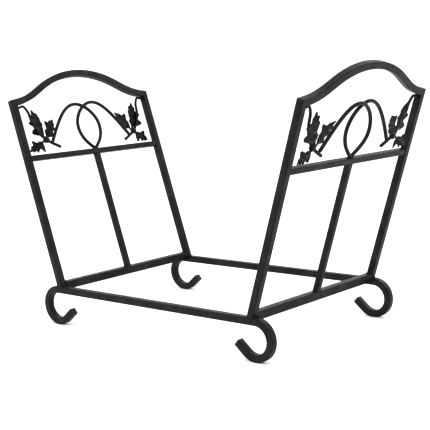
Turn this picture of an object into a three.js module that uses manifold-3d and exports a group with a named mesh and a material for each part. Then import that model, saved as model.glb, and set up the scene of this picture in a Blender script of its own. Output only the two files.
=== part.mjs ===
// A welded steel firewood rack.
//
// Two bent rails with C-scroll feet carry two end frames that lean outwards. Each end frame has two
// uprights under an arched top rail, a thin cross rail, a bottom bar and a centre bar. Two looped scroll
// wires and two sprigs of three leaves fill the head of each frame. Every piece is solid bar, wire or
// plate, and welded pieces are drawn with the gap that the weld fills.
//
// Millimetres, +Z up, +X along the rack's length, front towards -Y. The origin is on the floor at the
// centre of the rack.
import * as THREE from "three";
import { mergeVertices } from "three/addons/utils/BufferGeometryUtils.js";
import Module from "manifold-3d";

const wasm = await Module();
wasm.setup();

const { degToRad } = THREE.MathUtils;
const { sin, cos, tan, PI } = Math;

// ---------------------------------------------------------------- driving dimensions
const BAR = 12; // side of the square bar
const THIN_BAR = 10; // side of the square bar that fills the end frames
const BOTTOM_BAR = 14; // side of the heavy square bar that ties the rails together
const HALF_BAR = BAR / 2;
const WELD_GAP = 0.3; // left between pieces that a weld joins

const UPRIGHT_SPAN = 430; // between the upright centrelines, at the height of the rails
const LOG_REST = 416; // free length of a rail's top between the uprights, one flat face
const HALF_DEPTH = 169; // from the middle of the rack to a rail's centreline
const LEAN = degToRad(17.7); // of each end frame from the vertical

// C-scroll feet. The bend is faceted so that one facet lies flat on the floor.
const FOOT_RADIUS = 29; // of the bar's centreline
const FOOT_FACET = 180 / 24.5; // degrees of bend for each facet
const FOOT_FACETS = 30;
const FOOT_REACH = 10; // from an upright's foot outwards to the centre of the bend
const FOOT_TAIL = 23; // straight end that turns up inside the foot

// The bottom bars lie level. Their middle is this far above the rails' centreline.
const BOTTOM_BAR_HEIGHT = 6.8;

// End frame, measured up the slope from the rails' centreline.
const CROSS_RAIL_RISE = 243.7;
const CORNER_RISE = 349.3; // where the centrelines of upright and arch meet

// Arched top rail: a crown, a short straight shoulder and a flare back to the uprights.
const CROWN_RADIUS = 200;
const CROWN_BEND = 28; // degrees each side of the middle
const SHOULDER = 21;
const FLARE_RADIUS = 153;
const FLARE_BEND = 20;
const CORNER_SLOPE = degToRad(CROWN_BEND - FLARE_BEND);

// Scroll wires and sprigs.
const WIRE_RADIUS = 3.1;
const WIRE_SIDES = 8;
const WIRE_STEPS = 46;
// How far each wire stands out of the frame's plane where it starts, over its crown and down its loop.
const WIRE_BOW = {
  front: { start: 4.3, crown: 5.1, loop: 3.4 },
  rear: { start: 0, crown: -1.4, loop: -1 },
};
const STEM_RADIUS = 2.5;
const STEM_STEPS = 30;
const HUB = { reach: 114, rise: 276, radius: 7, halfHeight: 2.9 };
const LEAF_THICKNESS = 2;
const LEAF_START = 5; // from the hub's centre to the foot of a leaf stalk
// Leaves are set by hand: on two of the sprigs they stand a few degrees nearer to the upright.
const LEAF_SET = { left_front: 0, left_rear: -5, right_front: -5, right_rear: 0 };

// ---------------------------------------------------------------- finishes
const COATED_BAR = { color: 0x2c2c2e, roughness: 0.55, metalness: 0.35 };
const COATED_WIRE = { color: 0x262628, roughness: 0.5, metalness: 0.35 };
const COATED_LEAF = { color: 0x313134, roughness: 0.6, metalness: 0.35 };

const rack = new THREE.Group();

function addPiece(parent, name, geometry, finish) {
  const mesh = new THREE.Mesh(geometry, new THREE.MeshStandardMaterial(finish));
  mesh.name = name;
  parent.add(mesh);
  return mesh;
}

// ---------------------------------------------------------------- bars bent in one plane

// Follows a bending plan from a start point and returns the stations of the bar's centreline.
// A move is either { straight } or { turn, radius, facets }, with turn in degrees, left positive.
function followPlan(start, moves) {
  const stations = [start];
  let { x, y, heading } = start;
  const advance = (length, direction) => {
    x += length * cos(direction);
    y += length * sin(direction);
    stations.push({ x, y, heading });
  };
  for (const move of moves) {
    if (move.straight) {
      advance(move.straight, heading);
      continue;
    }
    const step = degToRad(move.turn / move.facets);
    const chord = 2 * move.radius * sin(Math.abs(step) / 2);
    for (let i = 0; i < move.facets; i++) {
      const along = heading + step / 2;
      heading += step;
      advance(chord, along);
    }
  }
  return stations;
}

// The whole bar from the stations of its right half.
function mirrorPlan(half) {
  const left = half.filter(({ x }) => x > 0).map(({ x, y, heading }) => ({ x: -x, y, heading: -heading }));
  return [...left.reverse(), ...half];
}

// A square bar round its stations. endSkew turns both end cuts away from square, as for a mitre.
function bentBar(stations, endSkew = 0) {
  const last = stations.length - 1;
  const edge = (side) =>
    stations.map(({ x, y, heading }, i) => {
      const skew = i === 0 ? endSkew : i === last ? -endSkew : 0;
      const across = heading + PI / 2 + skew;
      const reach = (side * HALF_BAR) / cos(skew);
      return new THREE.Vector2(x + reach * cos(across), y + reach * sin(across));
    });
  const outline = new THREE.Shape([...edge(-1), ...edge(1).reverse()]);
  const bar = new THREE.ExtrudeGeometry(outline, { depth: BAR, bevelEnabled: false });
  return bar.translate(0, 0, -HALF_BAR);
}

// ---------------------------------------------------------------- rails with their feet

const FOOT_CENTRE_HEIGHT = (FOOT_RADIUS + HALF_BAR) * cos(degToRad(FOOT_FACET / 2));
const RAIL_HEIGHT = FOOT_CENTRE_HEIGHT + FOOT_RADIUS;

function railWithFeet() {
  const half = followPlan({ x: LOG_REST / 2, y: RAIL_HEIGHT, heading: 0 }, [
    { straight: (UPRIGHT_SPAN - LOG_REST) / 2 + FOOT_REACH },
    { turn: -FOOT_FACET * FOOT_FACETS, radius: FOOT_RADIUS, facets: FOOT_FACETS },
    { straight: FOOT_TAIL },
  ]);
  return bentBar(mirrorPlan(half)).rotateX(PI / 2);
}

for (const [name, facing] of [["front_rail", -1], ["rear_rail", 1]]) {
  addPiece(rack, name, railWithFeet(), COATED_BAR).position.y = facing * HALF_DEPTH;
}

// ---------------------------------------------------------------- straight bars of an end frame
// In an end frame's own axes, X is the outward normal, Y runs to the rear and Z runs up the slope.

const CLEAR_DEPTH = 2 * (HALF_DEPTH - HALF_BAR - WELD_GAP);
const MITRE = (PI / 2 - CORNER_SLOPE) / 2; // cut across the corner, from the bar's square end

// An upright: its foot is cut level to stand on the rail, its head is mitred to meet the arch.
function upright(facing) {
  const bar = new THREE.BoxGeometry(BAR, BAR, 1);
  const corners = bar.attributes.position;
  for (let i = 0; i < corners.count; i++) {
    const outwards = corners.getY(i) * facing;
    const foot = (HALF_BAR + WELD_GAP + corners.getX(i) * sin(LEAN)) / cos(LEAN);
    const head = CORNER_RISE - WELD_GAP + outwards * tan(MITRE);
    corners.setZ(i, corners.getZ(i) > 0 ? head : foot);
  }
  return bar.translate(0, facing * HALF_DEPTH, 0);
}

const levelBar = (side) => new THREE.BoxGeometry(side, CLEAR_DEPTH, side);
const crossRail = () => levelBar(THIN_BAR).translate(0, 0, CROSS_RAIL_RISE);
const bottomBar = () =>
  levelBar(BOTTOM_BAR).rotateY(-LEAN).translate(0, 0, BOTTOM_BAR_HEIGHT / cos(LEAN));

// The centre bar: its foot is cut level to stand on the bottom bar, its head is cut square.
function centreBar() {
  const bar = new THREE.BoxGeometry(THIN_BAR, THIN_BAR, 1);
  const corners = bar.attributes.position;
  for (let i = 0; i < corners.count; i++) {
    const rest = BOTTOM_BAR_HEIGHT + BOTTOM_BAR / 2 + WELD_GAP;
    const foot = (rest + corners.getX(i) * sin(LEAN)) / cos(LEAN);
    const head = CROSS_RAIL_RISE - THIN_BAR / 2 - WELD_GAP;
    corners.setZ(i, corners.getZ(i) > 0 ? head : foot);
  }
  return bar;
}

function archRail() {
  const curved = followPlan({ x: 0, y: 0, heading: 0 }, [
    { turn: -CROWN_BEND, radius: CROWN_RADIUS, facets: 14 },
    { straight: SHOULDER },
    { turn: FLARE_BEND, radius: FLARE_RADIUS, facets: 8 },
  ]);
  const flareEnd = curved.at(-1);
  const run = (HALF_DEPTH - flareEnd.x) / cos(CORNER_SLOPE) - WELD_GAP;
  const half = [...curved, ...followPlan(flareEnd, [{ straight: run }]).slice(1)];
  const crownRise = CORNER_RISE - half.at(-1).y;
  const arch = bentBar(mirrorPlan(half), MITRE);
  return arch.translate(0, crownRise, 0).rotateX(PI / 2).rotateZ(PI / 2);
}

// ---------------------------------------------------------------- round wire

// A closed round wire along a curve in the end frame's axes.
function roundWire(curve, radius, steps) {
  const section = new THREE.Shape();
  section.absarc(0, 0, radius, 0, 2 * PI);
  return new THREE.ExtrudeGeometry(section, {
    extrudePath: curve,
    steps,
    curveSegments: WIRE_SIDES / 2, // a full circle is drawn with two sides for each segment
  });
}

// One scroll wire. It springs from the sprig's stem, loops over the crown and sweeps back under it to
// the middle of the cross rail. facing is -1 for a wire drawn from the -Y end of the frame's axes, and
// bow is one of WIRE_BOW.
function scrollWire(facing, bow) {
  const at = (aside, reach, rise) => new THREE.Vector3(aside, facing * reach, rise);
  const landing = CROSS_RAIL_RISE + THIN_BAR / 2 + 2.7;
  const loop = new THREE.CurvePath();
  loop.add(new THREE.CubicBezierCurve3(
    at(bow.start, 97.1, 271.8),
    at(bow.start, 66, 316),
    at(bow.crown, 45, 340.5),
    at(bow.crown, 18, 340.5),
  ));
  loop.add(new THREE.CubicBezierCurve3(
    at(bow.crown, 18, 340.5),
    at(bow.crown, -4, 340.5),
    at(bow.loop, -29.5, 317),
    at(bow.loop, -29.5, 294),
  ));
  loop.add(new THREE.CubicBezierCurve3(
    at(bow.loop, -29.5, 294),
    at(bow.loop, -29.5, 274),
    at(0, -16, 262),
    at(0, -2.6, landing),
  ));
  return roundWire(loop, WIRE_RADIUS, WIRE_STEPS);
}

// ---------------------------------------------------------------- sprigs

// A closed geometry as a solid, and a solid as a geometry.
function toSolid(geometry) {
  const bare = geometry.clone();
  bare.deleteAttribute("normal");
  bare.deleteAttribute("uv");
  const merged = mergeVertices(bare, 1e-3);
  return new wasm.Manifold(new wasm.Mesh({
    numProp: 3,
    vertProperties: merged.attributes.position.array,
    triVerts: new Uint32Array(merged.index.array),
  }));
}

function toGeometry(solid) {
  const { vertProperties, triVerts } = solid.getMesh();
  const geometry = new THREE.BufferGeometry();
  geometry.setAttribute("position", new THREE.BufferAttribute(vertProperties, 3));
  geometry.setIndex(new THREE.BufferAttribute(triVerts, 1));
  geometry.computeVertexNormals();
  return geometry;
}

// The stem runs from a cut twig over the cross rail, through the hub, to a tendril hooked under the
// corner of the arch. The hub is the round boss that the leaf stalks are welded to.
function stemWithHub(facing) {
  const route = [
    [85, 260], [100, 267.5], [HUB.reach, HUB.rise], [128, 291],
    [137, 311], [140, 330], [147.5, 341.8], [156, 340.6],
  ];
  const curve = new THREE.CatmullRomCurve3(
    route.map(([reach, rise]) => new THREE.Vector3(0, facing * reach, rise)),
  );
  const wire = roundWire(curve, STEM_RADIUS, STEM_STEPS);
  const hub = new THREE.CylinderGeometry(HUB.radius, HUB.radius, 2 * HUB.halfHeight, 20);
  hub.rotateZ(PI / 2).translate(0, facing * HUB.reach, HUB.rise);
  return toGeometry(toSolid(wire).add(toSolid(hub)));
}

// One edge of a leaf from stalk to tip, as fractions of its length: a stalk, a lower lobe, a middle
// lobe and a tooth below the tip. lower and middle are the half widths of the two lobes.
const leafEdge = ({ lower, middle }) => [
  [0, 0.035], [0.13, 0.035], [0.17, 0.5 * lower], [0.27, lower], [0.36, 0.8 * lower],
  [0.41, 0.15], [0.52, 0.8 * middle], [0.63, middle], [0.66, 0.13],
  [0.74, 0.15], [0.82, 0.16], [0.84, 0.08], [0.93, 0.045], [1, 0.008],
];

// The leaves of a sprig. angle is the leaf's direction from level outwards, in degrees. left and right
// are its edges, seen from outside the rack on a sprig at the rear, and lift is how far its tip curls
// outwards.
const LEAVES = [
  {
    name: "upper",
    angle: 77,
    length: 57,
    lift: 2,
    left: { lower: 0.13, middle: 0.18 },
    right: { lower: 0.43, middle: 0.37 },
  },
  {
    name: "inner",
    angle: 131,
    length: 48,
    lift: 6,
    left: { lower: 0.22, middle: 0.18 },
    right: { lower: 0.13, middle: 0.33 },
  },
  {
    name: "lower",
    angle: -24,
    length: 40,
    lift: 2,
    left: { lower: 0.15, middle: 0.36 },
    right: { lower: 0.45, middle: 0.28 },
  },
];

function leaf({ angle, length, lift, left, right }, facing, set) {
  const edge = (sides, sign) =>
    leafEdge(sides).map(([u, v]) => new THREE.Vector2(u * length, sign * facing * v * length));
  const outline = new THREE.Shape([...edge(left, 1), ...edge(right, -1).reverse()]);
  const plate = new THREE.ExtrudeGeometry(outline, { depth: LEAF_THICKNESS, bevelEnabled: false });
  const points = plate.attributes.position;
  for (let i = 0; i < points.count; i++) {
    const along = points.getX(i) / length;
    points.setZ(i, points.getZ(i) + HUB.halfHeight + WELD_GAP + lift * along * along);
  }
  const outwards = degToRad(angle + set);
  plate.translate(LEAF_START, 0, 0).rotateZ(facing > 0 ? outwards : PI - outwards);
  plate.translate(facing * HUB.reach, HUB.rise, 0);
  return plate.rotateX(PI / 2).rotateZ(PI / 2);
}

// ---------------------------------------------------------------- end frames

const ENDS = [["front", -1], ["rear", 1]];

function endFrame(side) {
  const frame = new THREE.Group();
  const add = (name, geometry, finish) => addPiece(frame, `${side}_${name}`, geometry, finish);
  add("arch_rail", archRail(), COATED_BAR);
  add("cross_rail", crossRail(), COATED_BAR);
  add("bottom_bar", bottomBar(), COATED_BAR);
  add("centre_bar", centreBar(), COATED_BAR);
  // The left frame is the right frame turned round, so its front is the other end of the drawing.
  const turned = side === "left" ? -1 : 1;
  for (const [end, facing] of ENDS) {
    const drawn = facing * turned;
    add(`${end}_upright`, upright(drawn), COATED_BAR);
    add(`${end}_scroll_wire`, scrollWire(drawn, WIRE_BOW[end]), COATED_WIRE);
    add(`${end}_stem`, stemWithHub(drawn), COATED_WIRE);
    for (const shape of LEAVES) {
      const plate = leaf(shape, drawn, LEAF_SET[`${side}_${end}`]);
      add(`${end}_${shape.name}_leaf`, plate, COATED_LEAF);
    }
  }
  frame.rotation.y = LEAN;
  frame.position.x = UPRIGHT_SPAN / 2;
  frame.position.z = RAIL_HEIGHT;
  return frame;
}

for (const [side, turn] of [["right", 0], ["left", PI]]) {
  const placed = new THREE.Group();
  placed.add(endFrame(side));
  placed.rotation.z = turn;
  rack.add(placed);
}

export default rack;
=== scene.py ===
"""A welded steel firewood rack, dressed for its studio picture.

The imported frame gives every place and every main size. Each sub-assembly is a class that draws out its
bars, wires and leaves with bmesh operators, gives them a powder-coat finish and sets them on the frame.
Lengths are in metres, +Z is up, +X runs along the rack and the front faces -Y.
"""

import logging
import math
from dataclasses import dataclass
from enum import Enum
from typing import ClassVar, Iterable, Sequence

import bmesh
import bpy
from bmesh.types import BMEdge, BMesh, BMFace, BMVert
from mathutils import Matrix, Vector
from mathutils.geometry import interpolate_bezier, intersect_point_line


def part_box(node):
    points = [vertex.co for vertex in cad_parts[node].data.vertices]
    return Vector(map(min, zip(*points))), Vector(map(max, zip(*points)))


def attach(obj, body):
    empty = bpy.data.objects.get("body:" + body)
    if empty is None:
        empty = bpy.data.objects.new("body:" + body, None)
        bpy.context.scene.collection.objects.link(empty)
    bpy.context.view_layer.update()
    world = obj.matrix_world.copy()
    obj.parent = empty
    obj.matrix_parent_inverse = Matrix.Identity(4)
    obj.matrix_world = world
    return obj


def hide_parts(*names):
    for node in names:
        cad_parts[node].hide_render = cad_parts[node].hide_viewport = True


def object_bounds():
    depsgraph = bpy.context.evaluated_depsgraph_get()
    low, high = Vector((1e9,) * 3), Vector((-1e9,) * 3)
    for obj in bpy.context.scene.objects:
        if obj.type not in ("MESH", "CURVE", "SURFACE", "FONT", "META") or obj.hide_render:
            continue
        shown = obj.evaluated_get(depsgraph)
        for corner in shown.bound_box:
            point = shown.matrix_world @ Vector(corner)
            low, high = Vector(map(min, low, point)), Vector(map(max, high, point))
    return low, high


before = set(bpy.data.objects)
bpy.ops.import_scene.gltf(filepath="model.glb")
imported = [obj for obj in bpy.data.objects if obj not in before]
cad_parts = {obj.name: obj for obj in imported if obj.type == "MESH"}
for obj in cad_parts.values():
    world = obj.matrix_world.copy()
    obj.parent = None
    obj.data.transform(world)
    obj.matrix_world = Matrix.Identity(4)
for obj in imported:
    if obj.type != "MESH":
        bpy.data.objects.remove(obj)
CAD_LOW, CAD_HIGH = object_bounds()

LOG = logging.getLogger("log_rack")
BODY = "root"  # a welded rack is one rigid body
MM = 0.001
PAINTED_CORNER_SHADE = "painted_corner_shade"  # attribute: 1 on the corners of a bar, 0 on its flats; the bar's finish paints shade on the corners by it
RELIEF = "leaf_relief"  # attribute: 1 on the crest of a leaf's vein, 0 between the veins; the leaf's finish paints a highlight by it
TOUCHING = 1e-6  # vertices closer than this are one
# The colour mix node's inputs, and its output, by number: its modes share their names.
MIX_SHARE, MIX_FIRST, MIX_SECOND = 0, 6, 7
MIX_COLOUR = 2


class Side(Enum):
    """Which end frame of the rack, as seen from the front."""

    LEFT = "left"
    RIGHT = "right"


class End(Enum):
    """Which end of an end frame."""

    FRONT = "front"
    REAR = "rear"


# ------------------------------------------------------------------ finishes


def linear(code: str) -> tuple[float, float, float, float]:
    """Turns an sRGB hex colour to a linear one.

    Args:
        code: six hex digits, such as "2B2B2D".

    Returns:
        Red, green, blue and an alpha of 1.
    """
    channels = (int(code[i : i + 2], 16) / 255 for i in (0, 2, 4))
    red, green, blue = (
        c / 12.92 if c <= 0.04045 else ((c + 0.055) / 1.055) ** 2.4 for c in channels
    )
    return red, green, blue, 1.0


def add_node(
    tree: bpy.types.NodeTree,
    kind: str,
    links: dict[str | int, object] | None = None,
    **settings: object,
) -> bpy.types.Node:
    """Adds one node to a tree.

    Args:
        tree: the node tree.
        kind: the node's type, such as "ShaderNodeMix".
        links: what each input is given, by its name or number: an output socket or a plain value.
        **settings: attributes of the node itself, set before its inputs.

    Returns:
        The node.
    """
    node = tree.nodes.new(kind)
    for name, value in settings.items():
        setattr(node, name, value)
    for key, value in (links or {}).items():
        socket = node.inputs[key]
        if isinstance(value, bpy.types.NodeSocket):
            tree.links.new(value, socket)
        else:
            socket.default_value = value
    return node


@dataclass(frozen=True)
class Cloud:
    """A cloudy pattern in a coat."""

    width: float  # mm, across one lump
    detail: float
    grain: float = 0.5  # how strong the finer lumps are
    band: tuple[float, float] | None = None  # the part of its values that is stretched over 0 to 1


@dataclass(frozen=True)
class PowderCoat:
    """A polyester powder coat, sprayed dry on blasted steel and melted to a satin film.

    The film is thinner on sharp corners and on the crests of veins, and smoother there. Painted shade
    makes the corners of bars darker, and a painted highlight makes the crests of a leaf's veins lighter
    grey. The whole surface has the fine swell called orange peel, over the shallow dents of the steel
    under it.
    """

    name: str
    coat: str  # sRGB of the film on a flat
    shade: str  # sRGB where the film is thickest
    crest: str  # sRGB painted on corners as shade and on the crests of veins as a highlight
    roughness: float
    spread: float  # how far the roughness wanders either way
    peel: float  # mm, width of one swell of the orange peel, drawn coarser than life so that it shows
    peel_depth: float  # mm
    forge: float  # mm, width of the dents that rolling and bending leave in the steel
    forge_depth: float  # mm
    crest_map: str = PAINTED_CORNER_SHADE
    crest_fade: float = 3.0  # how steeply the painted corner shade and vein highlight end beside a corner or a vein
    crest_polish: float = 0.10  # how much smoother the thin film is
    resin_ior: float = 1.5  # polyester
    matting: float = 0.25  # the wax in a satin coat halves its reflection

    def material(self) -> bpy.types.Material:
        """Makes the finish as a node material.

        Returns:
            The material, read by object coordinates and by the attribute that marks the crests.
        """
        made = bpy.data.materials.new(self.name)
        made.use_nodes = True
        tree = made.node_tree
        tree.nodes.clear()
        place = add_node(tree, "ShaderNodeTexCoord").outputs["Object"]
        crest = add_node(tree, "ShaderNodeAttribute", attribute_name=self.crest_map).outputs["Fac"]

        clouds = {
            "film": Cloud(26, 4, band=(0.38, 0.64)),  # how thick the film lies
            "crest_patches": Cloud(5, 5, 0.65, band=(0.36, 0.62)),  # breaks the painted corner shade and vein highlight into patches
            "satin": Cloud(9, 3, band=(0.3, 0.7)),  # how rough the film is
            "dents": Cloud(self.forge, 2),
            "peel": Cloud(self.peel, 3, 0.6),
        }
        drawn: dict[str, bpy.types.NodeSocket] = {}
        for use, cloud in clouds.items():
            lumps = {
                "Vector": place,
                "Scale": 1 / (cloud.width * MM),
                "Detail": cloud.detail,
                "Roughness": cloud.grain,
            }
            drawn[use] = add_node(tree, "ShaderNodeTexNoise", lumps).outputs["Fac"]
            if cloud.band:
                band = {"Value": drawn[use], "From Min": cloud.band[0], "From Max": cloud.band[1]}
                drawn[use] = add_node(tree, "ShaderNodeMapRange", band).outputs["Result"]

        # The painted corner shade and vein highlight end within a millimetre or so of the crest, broken
        # into patches.
        fade = {0: crest, 1: self.crest_fade}
        sharp = add_node(tree, "ShaderNodeMath", fade, operation="POWER").outputs[0]
        broken = {0: sharp, 1: drawn["crest_patches"]}
        # thin marks where the crest colour is painted, as shade on bar corners and as a highlight on
        # leaf veins, and where the surface is polished smoother.
        thin = add_node(tree, "ShaderNodeMath", broken, operation="MULTIPLY").outputs[0]

        body = {MIX_SHARE: drawn["film"], MIX_FIRST: linear(self.shade), MIX_SECOND: linear(self.coat)}
        film = add_node(tree, "ShaderNodeMix", body, data_type="RGBA").outputs[MIX_COLOUR]
        # Painted shade darkens the corners of bars, and a painted highlight lightens the crests of a
        # leaf's veins.
        painted_crests = {MIX_SHARE: thin, MIX_FIRST: film, MIX_SECOND: linear(self.crest)}
        colour = add_node(tree, "ShaderNodeMix", painted_crests, data_type="RGBA").outputs[MIX_COLOUR]

        satin = {
            "Value": drawn["satin"],
            "To Min": self.roughness - self.spread,
            "To Max": self.roughness + self.spread,
        }
        plain = add_node(tree, "ShaderNodeMapRange", satin).outputs["Result"]
        polish = {0: thin, 1: self.crest_polish}
        gloss = add_node(tree, "ShaderNodeMath", polish, operation="MULTIPLY").outputs[0]
        rough = add_node(tree, "ShaderNodeMath", {0: plain, 1: gloss}, operation="SUBTRACT").outputs[0]

        hammered = {"Height": drawn["dents"], "Distance": self.forge_depth * MM, "Strength": 1.0}
        dented = add_node(tree, "ShaderNodeBump", hammered).outputs["Normal"]
        swell = {
            "Height": drawn["peel"],
            "Distance": self.peel_depth * MM,
            "Strength": 1.0,
            "Normal": dented,
        }
        normal = add_node(tree, "ShaderNodeBump", swell).outputs["Normal"]

        surface = {
            "Base Color": colour,
            "Roughness": rough,
            "Normal": normal,
            "Metallic": 0.0,
            "IOR": self.resin_ior,
            "Specular IOR Level": self.matting,
        }
        shader = add_node(tree, "ShaderNodeBsdfPrincipled", surface)
        add_node(tree, "ShaderNodeOutputMaterial", {"Surface": shader.outputs["BSDF"]})
        return made


class Finish(Enum):
    """The rack's finishes, each with the name of the material slot that it belongs to."""

    # Satin black over hot-rolled square bar: soft broad highlights, the bar's shallow dents, and
    # painted shade that makes the corners blacker than the flats.
    BAR = (
        "bar_coat",
        PowderCoat(
            "black_powder_coat_on_bar",
            coat="28282B",
            shade="19191B",
            # painted shade on the corners
            crest="08080A",
            roughness=0.44,
            spread=0.06,
            peel=1.6,
            peel_depth=0.06,
            forge=14,
            forge_depth=0.45,
        ),
    )
    # The same coat on drawn wire, which is smooth, so its highlight is a narrow line.
    WIRE = (
        "wire_coat",
        PowderCoat(
            "black_powder_coat_on_wire",
            coat="1F1F22",
            shade="131315",
            # painted corner shade, which never shows: the round wire marks no corners
            crest="08080A",
            roughness=0.38,
            spread=0.05,
            peel=1.4,
            peel_depth=0.03,
            forge=12,
            forge_depth=0.10,
        ),
    )
    # On pressed leaves a painted highlight makes the crests of the veins lighter grey than the coat
    # between them.
    LEAF = (
        "leaf_coat",
        PowderCoat(
            "black_powder_coat_on_leaf",
            coat="202023",
            shade="0B0B0D",
            # painted highlight on the crests of the veins
            crest="6E6E76",
            roughness=0.46,
            spread=0.08,
            peel=1.2,
            peel_depth=0.08,
            forge=5,
            forge_depth=0.35,
            crest_map=RELIEF,
        ),
    )
    # On weld beads it covers the arc's ripples and looks a little drier.
    WELD = (
        "bar_coat",
        PowderCoat(
            "black_powder_coat_on_weld",
            coat="242427",
            shade="161618",
            crest="08080A",
            roughness=0.52,
            # painted corner shade, which never shows: a bead marks no corners
            spread=0.08,
            peel=0.9,
            peel_depth=0.08,
            forge=4,
            forge_depth=0.25,
        ),
    )

    @property
    def slot(self) -> str:
        """The name of the finish's material slot."""
        return self.value[0]

    def material(self) -> bpy.types.Material:
        """The finish's material, made once."""
        coat = self.value[1]
        return bpy.data.materials.get(coat.name) or coat.material()


# ------------------------------------------------------------------ places, read from the frame


def middle(node: str) -> Vector:
    """The centre of a CAD node's box."""
    low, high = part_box(node)
    return (low + high) / 2


@dataclass(frozen=True)
class RackPlan:
    """The rack's main places and sizes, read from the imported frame.

    A rise is measured up the slope of an end frame, from the rails' centreline.
    """

    bar: float  # side of the square bar in the rails, uprights and arches
    thin_bar: float  # side of the bar in the cross rails and centre bars
    bottom_bar: float  # side of the bottom bars
    rail_height: float  # of the rails' centreline above the floor
    half_depth: float  # from the middle of the rack to a rail's centreline
    half_span: float  # from the middle of the rack to an end frame's foot
    lean: float  # radians, of an end frame from upright
    bottom_rise: float
    cross_rise: float
    crown_rise: float

    @classmethod
    def from_frame(cls) -> "RackPlan":
        """Works the plan out from the boxes of the CAD nodes.

        Returns:
            The plan.
        """
        low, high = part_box("front_rail")
        bar = high.y - low.y
        rail_height = high.z - bar / 2
        bottom, cross = middle("right_bottom_bar"), middle("right_cross_rail")
        lean = math.atan2(cross.x - bottom.x, cross.z - bottom.z)
        thin_low, thin_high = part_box("right_cross_rail")
        bottom_low, bottom_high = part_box("right_bottom_bar")
        # A leaning bar's box is taller than its side by this much.
        turned_width = math.cos(lean) + math.sin(lean)
        crown_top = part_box("right_arch_rail")[1].z - rail_height - bar / 2 * turned_width
        return cls(
            bar=bar,
            thin_bar=(thin_high.z - thin_low.z) / turned_width,
            bottom_bar=bottom_high.z - bottom_low.z,
            rail_height=rail_height,
            half_depth=-(low.y + high.y) / 2,
            half_span=bottom.x - (bottom.z - rail_height) * math.tan(lean),
            lean=lean,
            bottom_rise=(bottom.z - rail_height) / math.cos(lean),
            cross_rise=(cross.z - rail_height) / math.cos(lean),
            crown_rise=crown_top / math.cos(lean),
        )

    def stand(self, side: Side) -> Matrix:
        """The place of an end frame.

        Args:
            side: which end frame.

        Returns:
            A matrix from the frame's own axes: X outwards, Y along the frame and Z up its slope.
        """
        turn = Matrix.Rotation(math.pi if side is Side.LEFT else 0.0, 4, "Z")
        foot = Matrix.Translation((self.half_span, 0, self.rail_height))
        return turn @ foot @ Matrix.Rotation(self.lean, 4, "Y")


# ------------------------------------------------------------------ the bending bench


def station(origin: Sequence[float], inside: Sequence[float], heading: Sequence[float]) -> Matrix:
    """The place of a bar's end.

    Args:
        origin: the middle of the section.
        inside: the direction that a positive bend turns towards.
        heading: the direction that the bar runs in.

    Returns:
        A matrix with X to the inside of a bend and Z along the bar.
    """
    x_axis, z_axis = Vector(inside).normalized(), Vector(heading).normalized()
    turned = Matrix((x_axis, z_axis.cross(x_axis), z_axis)).transposed().to_4x4()
    return Matrix.Translation(origin) @ turned


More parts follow.
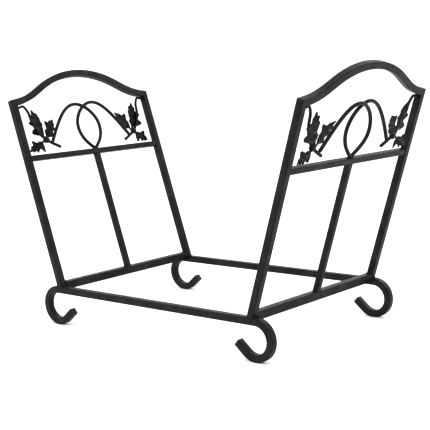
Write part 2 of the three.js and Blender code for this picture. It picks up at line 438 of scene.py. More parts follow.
class Bench:
    """A bending bench, which draws one bar or wire out along a route.

    The free end of the bar is a closed loop of edges in the XY plane of `here`.
    """

    CORNER_STEPS = 3
    FLAT_CUTS = 3  # across each flat, so that the painted shade of its corners fades out beside them
    BURR_STEPS = 2
    SHORT = 1e-5  # what lies this near to a saw's or a mirror's plane lies on it

    def __init__(self, here: Matrix) -> None:
        """Starts a bar.

        Args:
            here: the station that it starts at.
        """
        self.bm: BMesh = bmesh.new()
        self.painted_shade_layer = self.bm.verts.layers.float.new(PAINTED_CORNER_SHADE)
        self.here = here.copy()
        self.loop: list[BMEdge] = []
        self.first: BMFace | None = None

    def square(self, side: float, corner: float) -> "Bench":
        """Cuts the section of a square bar.

        Args:
            side: width of the bar.
            corner: radius of its rolled corners.

        Returns:
            The bench.
        """
        # The circle's four corners are turned from the axes to the diagonals.
        flat = Matrix.Rotation(math.pi / 4, 4, "Z")
        bmesh.ops.create_circle(
            self.bm, cap_ends=True, segments=4, radius=side / math.sqrt(2), matrix=self.here @ flat
        )
        bmesh.ops.bevel(
            self.bm,
            geom=self.bm.verts[:],
            offset=corner,
            offset_type="OFFSET",
            segments=self.CORNER_STEPS,
            profile=0.5,
            affect="VERTICES",
            material=-1,
        )
        # The corners are marked for painted shade, and the middles of the flats are cleared below.
        for vert in self.bm.verts:
            vert[self.painted_shade_layer] = 1.0
        flats = [edge for edge in self.bm.edges if edge.calc_length() > side / 2]
        cut = bmesh.ops.subdivide_edges(self.bm, edges=flats, cuts=self.FLAT_CUTS)
        for vert in (v for v in cut["geom_inner"] if isinstance(v, BMVert)):
            vert[self.painted_shade_layer] = 0.0
        return self._take_section()

    def round(self, radius: float, sides: int) -> "Bench":
        """Cuts the section of a round wire."""
        bmesh.ops.create_circle(self.bm, cap_ends=True, segments=sides, radius=radius, matrix=self.here)
        return self._take_section()

    def _take_section(self) -> "Bench":
        """Takes the one face made so far as the bar's start.

        Returns:
            The bench.
        """
        self.first = self.bm.faces[:][0]
        self.loop = list(self.first.edges)
        return self

    def open_start(self) -> "Bench":
        """Takes the start's face away, where a mirror plane will join two halves.

        Returns:
            The bench.
        """
        bmesh.ops.delete(self.bm, geom=[self.first], context="FACES_ONLY")
        self.first = None
        return self

    def draw(self, length: float) -> "Bench":
        """Draws the bar straight on.

        Args:
            length: how far.

        Returns:
            The bench.
        """
        moved = Matrix.Translation(self.here.to_3x3() @ Vector((0, 0, length)))
        self._extrude(moved)
        return self

    def _extrude(self, moved: Matrix, swell: float = 1.0) -> None:
        """Extrudes the free end and moves it on.

        Args:
            moved: from where the end is to where it goes.
            swell: how much the section grows about its own middle.
        """
        out = bmesh.ops.extrude_edge_only(self.bm, edges=self.loop)["geom"]
        verts = [item for item in out if isinstance(item, BMVert)]
        self.loop = [item for item in out if isinstance(item, BMEdge)]
        bmesh.ops.transform(self.bm, matrix=moved, verts=verts)
        self.here = moved @ self.here
        if swell != 1.0:
            home = Matrix.Translation(self.here.translation)
            grown = home @ Matrix.Scale(swell, 4) @ home.inverted()
            bmesh.ops.transform(self.bm, matrix=grown, verts=verts)

    def bend(self, degrees: float, radius: float, steps: int) -> "Bench":
        """Bends the bar round a former.

        Args:
            degrees: angle of the bend, positive towards the station's X.
            radius: of the bar's centreline.
            steps: facets that the bend is made of.

        Returns:
            The bench.
        """
        inwards = math.copysign(radius, degrees)
        centre = self.here @ Vector((inwards, 0, 0))
        axis = self.here.to_3x3() @ Vector((0, 1, 0))
        spun = bmesh.ops.spin(
            self.bm,
            geom=self.loop,
            cent=centre,
            axis=axis,
            dvec=(0, 0, 0),
            angle=math.radians(degrees),
            space=Matrix.Identity(4),
            steps=steps,
            use_merge=False,
            use_duplicate=False,
        )
        self.loop = [item for item in spun["geom_last"] if isinstance(item, BMEdge)]
        turned = Matrix.Rotation(math.radians(degrees), 4, axis)
        self.here = Matrix.Translation(centre) @ turned @ Matrix.Translation(-centre) @ self.here
        return self

    def follow(self, route: Sequence[Vector], swells: Sequence[float] = ()) -> "Bench":
        """Leads a wire along a route, turning it no more than the route turns.

        Args:
            route: points of the centreline, the first where the wire is now.
            swells: how much the section grows at each further point, 1 for not at all.

        Returns:
            The bench.
        """
        count = len(route)
        headings = [
            (route[min(i + 1, count - 1)] - route[max(i - 1, 0)]).normalized() for i in range(count)
        ]
        for i in range(1, count):
            turn = headings[i - 1].rotation_difference(headings[i]).to_matrix().to_4x4()
            moved = Matrix.Translation(route[i]) @ turn @ Matrix.Translation(-route[i - 1])
            self._extrude(moved, swells[i - 1] if swells else 1.0)
        return self

    def cap(self) -> BMFace:
        """Closes the free end with a face."""
        return bmesh.ops.contextual_create(self.bm, geom=self.loop)["faces"][0]

    def dress_ends(self, faces: Iterable[BMFace], burr: float) -> None:
        """Rounds the rims of end faces, as a file does after a cut.

        Args:
            faces: the end faces.
            burr: how much the file takes off.
        """
        rims = list({edge for face in faces for edge in face.edges})
        bmesh.ops.bevel(
            self.bm,
            geom=rims,
            offset=burr,
            offset_type="OFFSET",
            segments=self.BURR_STEPS,
            profile=0.5,
            affect="EDGES",
            clamp_overlap=True,
            material=-1,
        )

    def cut(self, point: Vector, outwards: Vector) -> None:
        """Saws the bar off and closes the cut.

        Args:
            point: a point on the saw's plane.
            outwards: the way from the plane to the piece that drops off.
        """
        whole = self.bm.verts[:] + self.bm.edges[:] + self.bm.faces[:]
        sawn = bmesh.ops.bisect_plane(
            self.bm, geom=whole, dist=self.SHORT, plane_co=point, plane_no=outwards, clear_outer=True
        )
        rim = [item for item in sawn["geom_cut"] if isinstance(item, BMEdge)]
        bmesh.ops.edgeloop_fill(self.bm, edges=rim)

    def mirror(self, axis: str) -> None:
        """Adds the bar's other half, mirrored across the origin.

        Args:
            axis: "X" or "Y", the axis that is turned round.
        """
        whole = self.bm.verts[:] + self.bm.edges[:] + self.bm.faces[:]
        bmesh.ops.mirror(
            self.bm, geom=whole, matrix=Matrix.Identity(4), merge_dist=self.SHORT, axis=axis
        )


def smooth_route(points: Sequence[Vector], steps: int) -> list[Vector]:
    """A smooth curve through some points.

    Args:
        points: the points, in order.
        steps: stretches drawn between two neighbours.

    Returns:
        The points of a Catmull-Rom curve.
    """
    route = [points[0]]
    last = len(points) - 1
    for i in range(last):
        before, after = points[max(i - 1, 0)], points[min(i + 2, last)]
        start, end = points[i], points[i + 1]
        handle_out = start + (end - before) / 6
        handle_in = end - (after - start) / 6
        route += interpolate_bezier(start, handle_out, handle_in, end, steps + 1)[1:]
    return route


def growth(sizes: Sequence[float]) -> list[float]:
    """The growth from each section to the next, from the sections' sizes."""
    return [after / before for before, after in zip(sizes, sizes[1:])]


# ------------------------------------------------------------------ pieces


def set_piece(
    name: str, bm: BMesh, finish: Finish, nodes: Sequence[str], crease: float = 40.0
) -> bpy.types.Object:
    """Makes a finished mesh a piece of the rack.

    Args:
        name: the piece's name.
        bm: its mesh, in place, which this frees.
        finish: what it is coated with.
        nodes: the CAD nodes that it stands for.
        crease: degrees past which an edge is drawn sharp.

    Returns:
        The object, riding on the rack's body.
    """
    bmesh.ops.remove_doubles(bm, verts=bm.verts[:], dist=TOUCHING)
    bmesh.ops.recalc_face_normals(bm, faces=bm.faces[:])
    mesh = bpy.data.meshes.new(name)
    bm.to_mesh(mesh)
    bm.free()
    mesh.shade_smooth()
    mesh.set_sharp_from_angle(angle=math.radians(crease))
    mesh.materials.append(finish.material())
    piece = bpy.data.objects.new(name, mesh)
    bpy.context.scene.collection.objects.link(piece)
    flats = piece.modifiers.new("true_flats", "WEIGHTED_NORMAL")
    flats.keep_sharp = True
    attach(piece, BODY)
    if nodes:
        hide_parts(*nodes)
    LOG.info("%s: %d faces", name, len(mesh.polygons))
    return piece


@dataclass
class Rails:
    """The two rails, each one bar with a C-scroll foot bent at both ends."""

    plan: RackPlan
    corner: float = 1.0 * MM
    foot_reach: float = 10 * MM  # from an upright's foot outwards to the centre of the bend
    foot_bend: float = 220.4  # degrees
    foot_steps: int = 44
    foot_tail: float = 23 * MM
    burr: float = 0.7 * MM

    def build(self) -> None:
        """Builds and dresses both rails."""
        for end, facing in ((End.FRONT, -1), (End.REAR, 1)):
            name = f"{end.value}_rail"
            set_piece(f"{name}_bar", self.mesh(facing * self.plan.half_depth), Finish.BAR, [name])

    def mesh(self, depth: float) -> BMesh:
        """Bends one rail, as its right half and the mirrored left.

        Args:
            depth: of its centreline, along Y.

        Returns:
            The rail in place.
        """
        plan = self.plan
        # The foot's outer face just reaches the floor.
        foot_radius = (plan.rail_height - plan.bar / 2) / 2
        bench = Bench(station((0, depth, plan.rail_height), (0, 0, -1), (1, 0, 0)))
        bench.square(plan.bar, self.corner).open_start()
        bench.draw(plan.half_span + self.foot_reach)
        bench.bend(self.foot_bend, foot_radius, self.foot_steps)
        bench.draw(self.foot_tail)
        bench.dress_ends([bench.cap()], self.burr)
        bench.mirror("X")
        return bench.bm


@dataclass(frozen=True)
class WireBow:
    """How far a scroll wire stands out of its frame's plane, in millimetres."""

    start: float
    crown: float
    loop: float


@dataclass(frozen=True)
class LeafEdge:
    """One edge of a leaf: half widths of its lower and middle lobes, as shares of its length."""

    lower: float
    middle: float

    def points(self) -> list[tuple[float, float]]:
        """Lays the edge out from stalk to tip.

        Returns:
            Shares of the leaf's length, along it and across it.
        """
        low, mid = self.lower, self.middle
        stalk = [(-0.05, 0.045), (0.09, 0.05)]
        lower_lobe = [(0.14, 0.55 * low), (0.26, low), (0.36, 0.85 * low), (0.41, 0.17)]
        middle_lobe = [(0.52, 0.85 * mid), (0.63, mid), (0.67, 0.15)]
        tooth = [(0.74, 0.15), (0.82, 0.16), (0.84, 0.08)]
        return [*stalk, *lower_lobe, *middle_lobe, *tooth, (0.93, 0.045), (1.0, 0.008)]

    def veins(self, hand: int) -> list[tuple[Vector, Vector]]:
        """The side veins of this edge, each from the midrib to just short of a lobe's tip."""
        tips = ((0.14, 0.26, self.lower), (0.38, 0.61, self.middle), (0.62, 0.8, 0.15))
        return [(Vector((root, 0)), Vector((tip, hand * 0.93 * out))) for root, tip, out in tips]


@dataclass(frozen=True)
class Leaf:
    """A leaf pressed from sheet, with raised veins and folded lobes."""

    name: str
    angle: float  # degrees, direction from level outwards
    length: float
    lift: float  # how far its tip curls outwards
    left: LeafEdge
    right: LeafEdge
    heart: float = 0.35  # where the rings that shape it are centred, as a share of its length
    spokes: int = 176
    rings: int = 20
    softness: float = 0.16  # how much of each straight of its edge is cut off at both ends
    thickness: float = 1.5 * MM
    vein_height: float = 1.15 * MM
    vein_width: float = 1.35 * MM
    vein_taper: float = 0.55  # how much of its width a vein loses by its end
    vein_fall: float = 0.45  # how much of its height a vein loses by its end
    midrib_end: float = 0.97  # as a share of the leaf's length
    fold: float = 0.27  # slope of the blade away from its veins
    droop: float = 2.2 * MM  # how far the lobes curl back
    lobe_reach: float = 0.4  # where they have curled that far, as a share of the leaf's length
    rim_drop: float = 0.45 * MM  # how far the press turns the very edge down
    rim_power: int = 8  # how close to the edge it does

    def outline(self) -> list[Vector]:
        """Walks round the leaf's softened edge.

        Returns:
            Evenly spaced points, one for each spoke, as shares of the leaf's length.
        """
        left = [Vector(point) for point in self.left.points()]
        right = [Vector((along, -out)) for along, out in self.right.points()]
        corners = left[::-1] + right
        soft: list[Vector] = []
        for i, corner in enumerate(corners):
            after = corners[(i + 1) % len(corners)]
            soft += [corner.lerp(after, self.softness), corner.lerp(after, 1 - self.softness)]
        lengths = [(soft[(i + 1) % len(soft)] - point).length for i, point in enumerate(soft)]
        step = sum(lengths) / self.spokes
        found: list[Vector] = []
        passed = 0.0
        for i, point in enumerate(soft):
            after = soft[(i + 1) % len(soft)]
            while len(found) < self.spokes and len(found) * step < passed + lengths[i]:
                found.append(point.lerp(after, (len(found) * step - passed) / lengths[i]))
            passed += lengths[i]
        return found

    def relief(self, spot: Vector) -> tuple[float, float]:
        """Finds the height of the veins at a spot on the leaf.

        Args:
            spot: shares of the leaf's length along it and across it.

        Returns:
            The vein's height as a share of its crest, and the distance to the nearest vein.
        """
        midrib = (Vector((0.0, 0.0)), Vector((self.midrib_end, 0.0)))
        crest, nearest = 0.0, 1.0
        for root, tip in (midrib, *self.left.veins(1), *self.right.veins(-1)):
            share = intersect_point_line(spot, root, tip)[1]
            share = min(max(share, 0.0), 1.0)
            gap = (spot - root.lerp(tip, share)).length * self.length
            width = self.vein_width * (1.0 - self.vein_taper * share)
            crest = max(crest, math.exp(-((gap / width) ** 2)) * (1.0 - self.vein_fall * share))
            nearest = min(nearest, gap)
        return crest, nearest

    def disc(self) -> BMesh:
        """Spins the flat disc that the leaf is shaped from.

        Returns:
            Rings of vertices round the origin, the outermost at a radius of 1.
        """
        bm = bmesh.new()
        spoke = [bm.verts.new((ring / self.rings, 0, 0)) for ring in range(self.rings + 1)]
        rays = [bm.edges.new(pair) for pair in zip(spoke, spoke[1:])]
        bmesh.ops.spin(
            bm,
            geom=spoke + rays,
            cent=(0, 0, 0),
            axis=(0, 0, 1),
            dvec=(0, 0, 0),
            angle=2 * math.pi,
            space=Matrix.Identity(4),
            steps=self.spokes,
            use_merge=True,
            use_duplicate=False,
        )
        bmesh.ops.remove_doubles(bm, verts=bm.verts[:], dist=0.2 / self.spokes / self.rings)
        return bm

    def mesh(self) -> BMesh:
        """Presses the leaf in its own plane.

        Returns:
            The leaf, with its stalk at the origin, X along it and Z outwards.
        """
        bm = self.disc()
        layer = bm.verts.layers.float.new(RELIEF)
        outline = self.outline()
        heart = Vector((self.heart, 0.0))
        for vert in bm.verts:
            # The end of each spoke goes to its own point of the outline, and its start to the heart.
            turn = math.atan2(vert.co.y, vert.co.x) % (2 * math.pi)
            rim = outline[round(turn / (2 * math.pi) * self.spokes) % self.spokes]
            ring = Vector((vert.co.x, vert.co.y)).length
            spot = heart.lerp(rim, ring)
            crest, gap = self.relief(spot)
            # The vein's height, by which the leaf's finish paints a highlight on the crests.
            vert[layer] = crest
            raised = crest * self.vein_height - self.fold * gap - self.rim_drop * ring**self.rim_power
            curled = self.lift * spot.x**2 - self.droop * (spot.y / self.lobe_reach) ** 2
            vert.co = (spot.x * self.length, spot.y * self.length, raised + curled)
        bmesh.ops.recalc_face_normals(bm, faces=bm.faces[:])
        if sum(face.normal.z for face in bm.faces) < 0:
            bmesh.ops.reverse_faces(bm, faces=bm.faces[:])
        bmesh.ops.solidify(bm, geom=bm.faces[:], thickness=self.thickness)
        return bm


LEAVES = (
    Leaf("upper", 77, 57 * MM, 2 * MM, LeafEdge(0.13, 0.18), LeafEdge(0.43, 0.37)),
    Leaf("inner", 131, 48 * MM, 6 * MM, LeafEdge(0.25, 0.23), LeafEdge(0.18, 0.35)),
    Leaf("lower", -24, 40 * MM, 2 * MM, LeafEdge(0.15, 0.36), LeafEdge(0.45, 0.28)),
)


@dataclass
class EndFrame:
    """One leaning end frame.

    Its own axes are X outwards, Y along the frame and Z up its slope. What stands at its two ends is
    drawn at +Y and mirrored where it belongs at -Y.
    """

    # A stem's centreline from its twig to its tendril: millimetres along the frame and up its slope.
    STEM_ROUTE: ClassVar[tuple[tuple[float, float], ...]] = (
        (85, 260), (100, 267.5), (114, 276), (128, 291),
        (137, 311), (140, 330), (147.5, 341.8), (156, 340.6),
    )
    # The knot's section: millimetres out of the frame's plane, and the share of its radius there.
    KNOT: ClassVar[tuple[tuple[float, float], ...]] = (
        (5.0, 0.0), (4.9, 0.32), (4.3, 0.62), (3.2, 0.86), (1.2, 1.0), (-1.2, 1.0),
        (-2.6, 0.86), (-3.2, 0.5), (-3.4, 0.0),
    )
    # The front wire passes outside the rear one where they cross.
    BOWS: ClassVar[dict[End, WireBow]] = {
        End.FRONT: WireBow(4.3, 5.1, 3.4),
        End.REAR: WireBow(0.0, -1.4, -1.0),
    }

    plan: RackPlan
    side: Side
    corner: float = 1.0 * MM
    bite: float = 0.25 * MM  # how far a bar's end sinks into the weld at its neighbour
    crown_radius: float = 200 * MM
    crown_bend: float = 28.0
    crown_steps: int = 24
    shoulder: float = 21 * MM
    flare_radius: float = 153 * MM
    flare_bend: float = 20.0
    flare_steps: int = 16
    wire_radius: float = 3.1 * MM
    wire_sides: int = 20
    wire_points: int = 25  # on each of its three stretches
    wire_seat: float = 2.7 * MM  # from the cross rail's top to the centreline of a wire that lands on it
    wire_tail: float = 3 * MM  # buried in the weld there
    wire_burr: float = 0.5 * MM
    stem_radius: float = 2.6 * MM
    stem_sides: int = 16
    stem_steps: int = 7
    stem_swell: float = 1.12  # of its radius at the twig's cut end
    stem_taper: float = 0.3  # how much of its radius is gone at the tendril's tip
    stem_burr: float = 0.6 * MM
    hub_reach: float = 114 * MM
    hub_rise: float = 276 * MM
    hub_radius: float = 6.4 * MM
    hub_steps: int = 28
    leaf_start: float = 5 * MM
    leaf_face: float = 4.9 * MM  # from the frame's plane to a leaf's outer face, at its stalk
    leaf_turn: float = 5.0  # degrees that two of the sprigs' leaves stand nearer to the upright
    leaf_crease: float = 55.0
    bead_reach: float = 0.9  # how much of the bottom bar's width its beads run along
    landing_half: float = 7.5 * MM  # half the length of the bead where the wires land
    landing_bead: float = 2.6 * MM  # its radius

    def build(self) -> None:
        """Builds and dresses every piece of the frame."""
        self.build_arch()
        self.build_level_bars()
        for end in End:
            self.build_upright(end)
            self.build_wire(end)
            self.build_stem(end)
            self.build_leaves(end)
        self.build_welds()

    def hand(self, end: End) -> int:
        """Which end of the frame's own Y axis an end of the rack is, as 1 or -1."""
        facing = -1 if end is End.FRONT else 1
        return facing if self.side is Side.RIGHT else -facing

    def settle(self, bm: BMesh, hand: int = 1) -> BMesh:
        """Puts a mesh from the frame's own axes in the rack.

        Args:
            bm: the mesh.
            hand: -1 to mirror it along the frame first.

        Returns:
            The same mesh, moved.
        """
        mirrored = Matrix.Diagonal((1, hand, 1, 1))
        bmesh.ops.transform(bm, matrix=self.plan.stand(self.side) @ mirrored, verts=bm.verts[:])
        return bm

    def name(self, piece: str) -> str:
        """The CAD name of one of this frame's pieces."""
        return f"{self.side.value}_{piece}"

    def floor_up(self) -> Vector:
        """The way up from the floor, in the frame's own axes."""
        return Vector((-math.sin(self.plan.lean), 0, math.cos(self.plan.lean)))

    def level_out(self) -> Vector:
        """The level way outwards, in the frame's own axes."""
        return Vector((math.cos(self.plan.lean), 0, math.sin(self.plan.lean)))

    # -------------------------------------------------------------- bars

    def arch_start(self) -> Matrix:
        """The station at the top of the crown, heading to the rear and bending down."""
        return station((0, 0, self.plan.crown_rise), (0, 0, -1), (0, 1, 0))

    def arch_end(self) -> tuple[Vector, Vector]:
        """Bends a length of thin wire like the arch, to find where it meets the upright.

        Returns:
            Where the two centrelines meet, and the arch's heading there.
        """
        bench = Bench(self.arch_start()).round(MM, 3)
        bench.bend(self.crown_bend, self.crown_radius, 1).draw(self.shoulder)
        bench.bend(-self.flare_bend, self.flare_radius, 1)
        heading = bench.here.to_3x3() @ Vector((0, 0, 1))
        place = bench.here.translation
        bench.bm.free()
        return place + heading * (self.plan.half_depth - place.y) / heading.y, heading

    def mitre(self) -> tuple[Vector, Vector]:
        """The corner where arch and upright meet, and the way out of the upright through the mitre."""
        corner, heading = self.arch_end()
        return corner, (Vector((0, 0, 1)) - heading).normalized()

    def build_arch(self) -> None:
        """Builds the arched top rail: a crown with a flare at each end, mitred to the uprights."""
        plan = self.plan
        corner, outwards = self.mitre()
        bench = Bench(self.arch_start()).square(plan.bar, self.corner).open_start()
        bench.bend(self.crown_bend, self.crown_radius, self.crown_steps).draw(self.shoulder)
        bench.bend(-self.flare_bend, self.flare_radius, self.flare_steps)
        bench.draw((corner - bench.here.translation).length + plan.bar)
        bench.cap()
        bench.cut(corner, -outwards)
        bench.mirror("Y")
        set_piece(self.name("arch_bar"), self.settle(bench.bm), Finish.BAR, [self.name("arch_rail")])

    def build_upright(self, end: End) -> None:
        """Builds an upright, sawn level at its foot and mitred at its head.

        Args:
            end: which end of the frame it stands at.
        """
        plan = self.plan
        corner, outwards = self.mitre()
        rail_top = Vector((0, 0, plan.bar / 2 / math.cos(plan.lean)))
        bench = Bench(station((0, plan.half_depth, -plan.bar), (1, 0, 0), (0, 0, 1)))
        bench.square(plan.bar, self.corner)
        bench.draw(corner.z + 3 * plan.bar)
        bench.cap()
        bench.cut(rail_top, -self.floor_up())
        bench.cut(corner, outwards)
        name = self.name(f"{end.value}_upright")
        set_piece(f"{name}_bar", self.settle(bench.bm, self.hand(end)), Finish.BAR, [name])

    def build_level_bars(self) -> None:
        """Builds the bottom bar, the thin cross rail and the centre bar between them."""
        plan = self.plan
        inner = plan.half_depth - plan.bar / 2 + self.bite
        for piece, rise, side, inside in (
            ("bottom_bar", plan.bottom_rise, plan.bottom_bar, self.level_out()),
            ("cross_rail", plan.cross_rise, plan.thin_bar, Vector((1, 0, 0))),
        ):
            bench = Bench(station((0, -inner, rise), inside, (0, 1, 0))).square(side, self.corner)
            bench.draw(2 * inner)
            bench.cap()
            set_piece(f"{self.name(piece)}_steel", self.settle(bench.bm), Finish.BAR, [self.name(piece)])
        bench = Bench(station((0, 0, 0), (1, 0, 0), (0, 0, 1))).square(plan.thin_bar, self.corner)
        bench.draw(plan.cross_rise - plan.thin_bar / 2 + self.bite)
        bench.cap()
        bench.cut(Vector((0, 0, self.centre_foot(0) - self.bite)), -self.floor_up())
        name = self.name("centre_bar")
        set_piece(f"{name}_steel", self.settle(bench.bm), Finish.BAR, [name])

    def centre_foot(self, out: float) -> float:
        """The rise of the bottom bar's top, a distance out from the frame's plane."""
        top = self.plan.bottom_bar / 2 / math.cos(self.plan.lean)
        return self.plan.bottom_rise + top + out * math.tan(self.plan.lean)

    # -------------------------------------------------------------- wires and sprigs

    def wire_route(self, bow: WireBow) -> list[Vector]:
        """Lays a scroll wire's centreline out.

        Args:
            bow: how far it stands out of the frame's plane.

        Returns:
            Its points, from the sprig over the crown and back under it to the cross rail.
        """
        landing = (self.plan.cross_rise + self.plan.thin_bar / 2 + self.wire_seat) / MM
        # Three Bezier stretches, in millimetres out of the plane, along the frame and up its slope.
        start, crown, loop = bow.start, bow.crown, bow.loop
        stretches = (
            ((start, 97.1, 271.8), (start, 66, 316), (crown, 45, 340.5), (crown, 18, 340.5)),
            ((crown, 18, 340.5), (crown, -4, 340.5), (loop, -29.5, 317), (loop, -29.5, 294)),
            ((loop, -29.5, 294), (loop, -29.5, 274), (0, -16, 262), (0, -2.6, landing)),
        )
        route: list[Vector] = []
        for stretch in stretches:
            drawn = interpolate_bezier(*(Vector(point) * MM for point in stretch), self.wire_points)
            route += drawn[1:] if route else drawn
        route.append(route[-1] + (route[-1] - route[-2]).normalized() * self.wire_tail)
        return route

    def build_wire(self, end: End) -> None:
        """Builds a scroll wire.

        Args:
            end: which end of the frame its sprig is at.
        """
        route = self.wire_route(self.BOWS[end])
        bench = Bench(station(route[0], (1, 0, 0), route[1] - route[0]))
        bench.round(self.wire_radius, self.wire_sides).follow(route)
        bench.dress_ends([bench.first, bench.cap()], self.wire_burr)
        name = self.name(f"{end.value}_scroll_wire")
        set_piece(f"{name}_steel", self.settle(bench.bm, self.hand(end)), Finish.WIRE, [name])

    def build_stem(self, end: End) -> None:
        """Builds a stem from its cut twig to the tendril under the corner, with its knot.

        Args:
            end: which end of the frame it is at.
        """
        points = [Vector((0, reach, rise)) * MM for reach, rise in self.STEM_ROUTE]
        route = smooth_route(points, self.stem_steps)
        sizes = [self.stem_swell - self.stem_taper * i / len(route) for i in range(len(route))]
        bench = Bench(station(route[0], (1, 0, 0), route[1] - route[0]))
        bench.round(self.stem_radius * sizes[0], self.stem_sides).follow(route, growth(sizes))
        bench.dress_ends([bench.first, bench.cap()], self.stem_burr)
        self.add_knot(bench.bm)
        name = self.name(f"{end.value}_stem")
        set_piece(f"{name}_steel", self.settle(bench.bm, self.hand(end)), Finish.WIRE, [name])

    def add_knot(self, bm: BMesh) -> None:
        """Adds the domed knot that the leaf stalks spring from, turned as a solid of revolution.

        Args:
            bm: the stem's mesh.
        """
        hub = Vector((0, self.hub_reach, self.hub_rise))
        section = [(out * MM, share * self.hub_radius, 0) for out, share in self.KNOT]
        verts = [bm.verts.new(hub + Vector(point)) for point in section]
        edges = [bm.edges.new(pair) for pair in zip(verts, verts[1:])]
        bmesh.ops.spin(
            bm,
            geom=verts + edges,
            cent=hub,
            axis=(1, 0, 0),
            dvec=(0, 0, 0),
            angle=2 * math.pi,
            space=Matrix.Identity(4),
            steps=self.hub_steps,
            use_merge=True,
            use_duplicate=False,
        )

    def build_leaves(self, end: End) -> None:
        """Builds the three leaves of a sprig and sets them on its knot.

        Args:
            end: which end of the frame the sprig is at.
        """
        # The sprigs are set by hand, so two of them stand a little differently.
        stands_near = (self.side, end) in ((Side.LEFT, End.REAR), (Side.RIGHT, End.FRONT))
        # From the leaf's own plane to the frame's: X along the frame, Y up it and Z outwards.
        upright = Matrix(((0, 0, 1, 0), (1, 0, 0, 0), (0, 1, 0, 0), (0, 0, 0, 1)))
        knot = Matrix.Translation((self.leaf_face, self.hub_reach, self.hub_rise))
        for leaf in LEAVES:
            bm = leaf.mesh()
            turned = math.radians(leaf.angle - (self.leaf_turn if stands_near else 0))
            along = Matrix.Rotation(turned, 4, "Z") @ Matrix.Translation((self.leaf_start, 0, 0))
            bmesh.ops.transform(bm, matrix=knot @ upright @ along, verts=bm.verts[:])
            name = self.name(f"{end.value}_{leaf.name}_leaf")
            placed = self.settle(bm, self.hand(end))
            set_piece(f"{name}_steel", placed, Finish.LEAF, [name], self.leaf_crease)

    # -------------------------------------------------------------- welds

    def build_welds(self) -> None:
        """Builds every weld bead of the frame, as one piece."""
        beads = WeldBeads()
        for end in End:
            self.weld_bars(beads, self.hand(end))
            self.weld_sprig(beads, self.hand(end), self.BOWS[end].start)
        # The two wires where they land side by side.
        top = self.plan.cross_rise + self.plan.thin_bar / 2
        beads.run((0, -self.landing_half, top), (0, self.landing_half, top), self.landing_bead)
        set_piece(self.name("frame_welds"), self.settle(beads.bm), Finish.WELD, [])

    def weld_bars(self, beads: "WeldBeads", hand: int) -> None:
        """Welds the bars at one end of the frame, and one side of the centre bar.

        Args:
            beads: the beads laid so far.
            hand: 1 for the end at +Y of the frame's own axes, -1 for the other.
        """
        plan = self.plan
        half, thin, deep = plan.bar / 2, plan.thin_bar / 2, plan.bottom_bar / 2
        inner, outer = plan.half_depth - half, plan.half_depth + half
        bottom = Vector((0, hand * inner, plan.bottom_rise))
        across, up = self.level_out() * deep * self.bead_reach, self.floor_up() * deep
        rail, rail_out = Vector((0, hand * inner, plan.cross_rise)), Vector((thin, 0, 0))
        for level in (-1, 1):
            beads.run(bottom - across + up * level, bottom + across + up * level)
            edge = rail + Vector((0, 0, thin * level))
            beads.run(edge - rail_out, edge + rail_out)
        # The upright's foot on the rail, on its two faces along the rack.
        for face in (-half, half):
            drop = half / math.cos(plan.lean) + face * math.tan(plan.lean)
            beads.run((face, hand * inner, drop), (face, hand * outer, drop))
        # The centre bar's foot and head, on one of its faces along the frame.
        foot_in, foot_out = self.centre_foot(-thin), self.centre_foot(thin)
        beads.run((-thin, hand * thin, foot_in), (thin, hand * thin, foot_out))
        head = plan.cross_rise - thin
        beads.run((-thin, hand * thin, head), (thin, hand * thin, head))

    @staticmethod
    def weld_sprig(beads: "WeldBeads", hand: int, wire_out: float) -> None:
        """Welds a tendril's tip to its upright and a wire's start to its stem.

        Args:
            beads: the beads laid so far.
            hand: 1 for the sprig at +Y of the frame's own axes, -1 for the other.
            wire_out: millimetres that the wire's start stands out of the frame's plane.
        """
        for out, start, end, radius in (
            (0, (155, 340.7), (163.2, 339.6), 2.2),
            (wire_out, (99.5, 268.5), (95, 275), 2.9),
        ):
            first, last = ((out * MM, hand * reach * MM, rise * MM) for reach, rise in (start, end))
            beads.run(first, last, radius * MM)


class WeldBeads:
    """Weld beads: short ridges rippled by the steps of the arc."""

    PITCH = 1.5 * MM  # from one ripple to the next
    RIPPLE = 0.05  # its height, as a share of the bead's radius
    STEPS = 4  # sections drawn for each ripple
    FEWEST = 8  # sections drawn for the shortest bead
    SIDES = 10
    TIP = 0.12  # size of the bead's very ends, as a share of its radius

    def __init__(self) -> None:
        """Starts with no bead."""
        self.bm: BMesh = bmesh.new()

    def run(self, start: Sequence[float], end: Sequence[float], radius: float = 1.5 * MM) -> None:
        """Lays one bead.

        Args:
            start: where the bead starts.
            end: where it ends.
            radius: of the bead, half of which is buried in the joint.
        """
        first, last = Vector(start), Vector(end)
        heading = last - first
        span = heading.length
        count = max(self.FEWEST, round(span / self.PITCH * self.STEPS))
        shares = [i / count for i in range(count + 1)]
        sizes = []
        for share in shares:
            dome = max(1 - (2 * share - 1) ** 4, 0.0) ** 0.5
            ripple = 1 + self.RIPPLE * math.sin(2 * math.pi * share * span / self.PITCH)
            sizes.append(max(dome * ripple, self.TIP))
        bench = Bench(station(first, heading.orthogonal(), heading))
        bench.round(radius * sizes[0], self.SIDES)
        bench.follow([first.lerp(last, share) for share in shares], growth(sizes))
        bench.cap()
        laid = bpy.data.meshes.new("bead")
        bench.bm.to_mesh(laid)
        bench.bm.free()
        self.bm.from_mesh(laid)
        bpy.data.meshes.remove(laid)


# ------------------------------------------------------------------ studio


@dataclass(frozen=True)
class SoftBox:
    """A square soft light that faces the rack."""

    name: str
    place: tuple[float, float, float]
    size: float
    power: float  # watts

    def hang(self, aim: Vector) -> None:
        """Hangs the light.

        Args:
            aim: what it faces.
        """
        light = bpy.data.lights.new(self.name, "AREA")
        light.size = self.size
        light.energy = self.power
        lamp = bpy.data.objects.new(self.name, light)
        lamp.location = self.place
        lamp.rotation_mode = "QUATERNION"
        lamp.rotation_quaternion = (aim - Vector(self.place)).to_track_quat("-Z", "Y")
        bpy.context.scene.collection.objects.link(lamp)


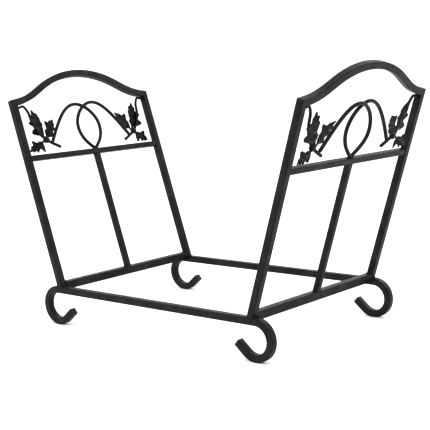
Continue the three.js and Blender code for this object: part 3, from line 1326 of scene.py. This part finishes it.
@dataclass(frozen=True)
class Studio:
    """A pale floor, soft light and the camera."""

    azimuth: float = 40.63  # degrees round from the front
    elevation: float = 8.37
    roll: float = -2.22
    distance: float = 1.85
    aim: tuple[float, float, float] = (0.0130, -0.0082, -0.0340)  # from the middle of the rack's box
    lens: float = 88.45
    sensor: float = 36.0
    floor_reach: float = 40.0
    paper: str = "F4F4F4"
    paper_roughness: float = 0.9
    paper_shine: float = 0.1
    sky_strength: float = 1.02
    lights_aim: tuple[float, float, float] = (0.0, 0.0, 0.2)
    lights: tuple[SoftBox, ...] = (
        SoftBox("key_light", (-1.6, -2.0, 2.4), 1.6, 26.0),
        SoftBox("side_light", (2.4, -0.6, 1.5), 1.2, 12.0),
        SoftBox("back_light", (0.3, 2.4, 2.0), 1.4, 10.0),
    )

    def build(self) -> None:
        """Builds the floor, the lights and the camera."""
        self.build_floor()
        self.build_lights()
        self.build_camera()

    def build_floor(self) -> None:
        """Builds a broad floor of matt paper."""
        bm = bmesh.new()
        bmesh.ops.create_grid(bm, x_segments=1, y_segments=1, size=self.floor_reach)
        mesh = bpy.data.meshes.new("studio_floor")
        bm.to_mesh(mesh)
        bm.free()
        floor = bpy.data.objects.new("studio_floor", mesh)
        bpy.context.scene.collection.objects.link(floor)
        paper = bpy.data.materials.new("pale_paper")
        paper.use_nodes = True
        shader = paper.node_tree.nodes["Principled BSDF"]
        shader.inputs["Base Color"].default_value = linear(self.paper)
        shader.inputs["Roughness"].default_value = self.paper_roughness
        shader.inputs["Specular IOR Level"].default_value = self.paper_shine
        mesh.materials.append(paper)

    def build_lights(self) -> None:
        """Builds a bright sky all round and the soft boxes."""
        world = bpy.data.worlds.new("studio_sky")
        world.use_nodes = True
        sky = world.node_tree.nodes["Background"]
        sky.inputs["Color"].default_value = (1, 1, 1, 1)
        sky.inputs["Strength"].default_value = self.sky_strength
        bpy.context.scene.world = world
        for light in self.lights:
            light.hang(Vector(self.lights_aim))
        bpy.context.scene.view_settings.view_transform = "Standard"
        bpy.context.scene.view_settings.look = "High Contrast"

    def build_camera(self) -> None:
        """Sets the camera up, round the middle of the rack's box."""
        turn, tilt = math.radians(self.azimuth), math.radians(self.elevation)
        level = Vector((math.sin(turn), -math.cos(turn), 0))
        back = level * math.cos(tilt) + Vector((0, 0, math.sin(tilt)))
        target = (CAD_LOW + CAD_HIGH) / 2 + Vector(self.aim)
        camera = bpy.data.cameras.new("camera")
        camera.lens = self.lens
        camera.sensor_width = self.sensor
        holder = bpy.data.objects.new("camera", camera)
        facing = (-back).to_track_quat("-Z", "Y").to_matrix().to_4x4()
        tipped = Matrix.Rotation(math.radians(self.roll), 4, "Z")
        holder.matrix_world = Matrix.Translation(target + back * self.distance) @ facing @ tipped
        bpy.context.scene.collection.objects.link(holder)
        bpy.context.scene.camera = holder


def main() -> None:
    """Builds the rack and its studio."""
    logging.basicConfig(level=logging.INFO, format="%(message)s")
    plan = RackPlan.from_frame()
    LOG.info("plan: %s", plan)
    Studio().build()
    Rails(plan).build()
    for side in Side:
        EndFrame(plan, side).build()


if __name__ == "__main__":
    main()
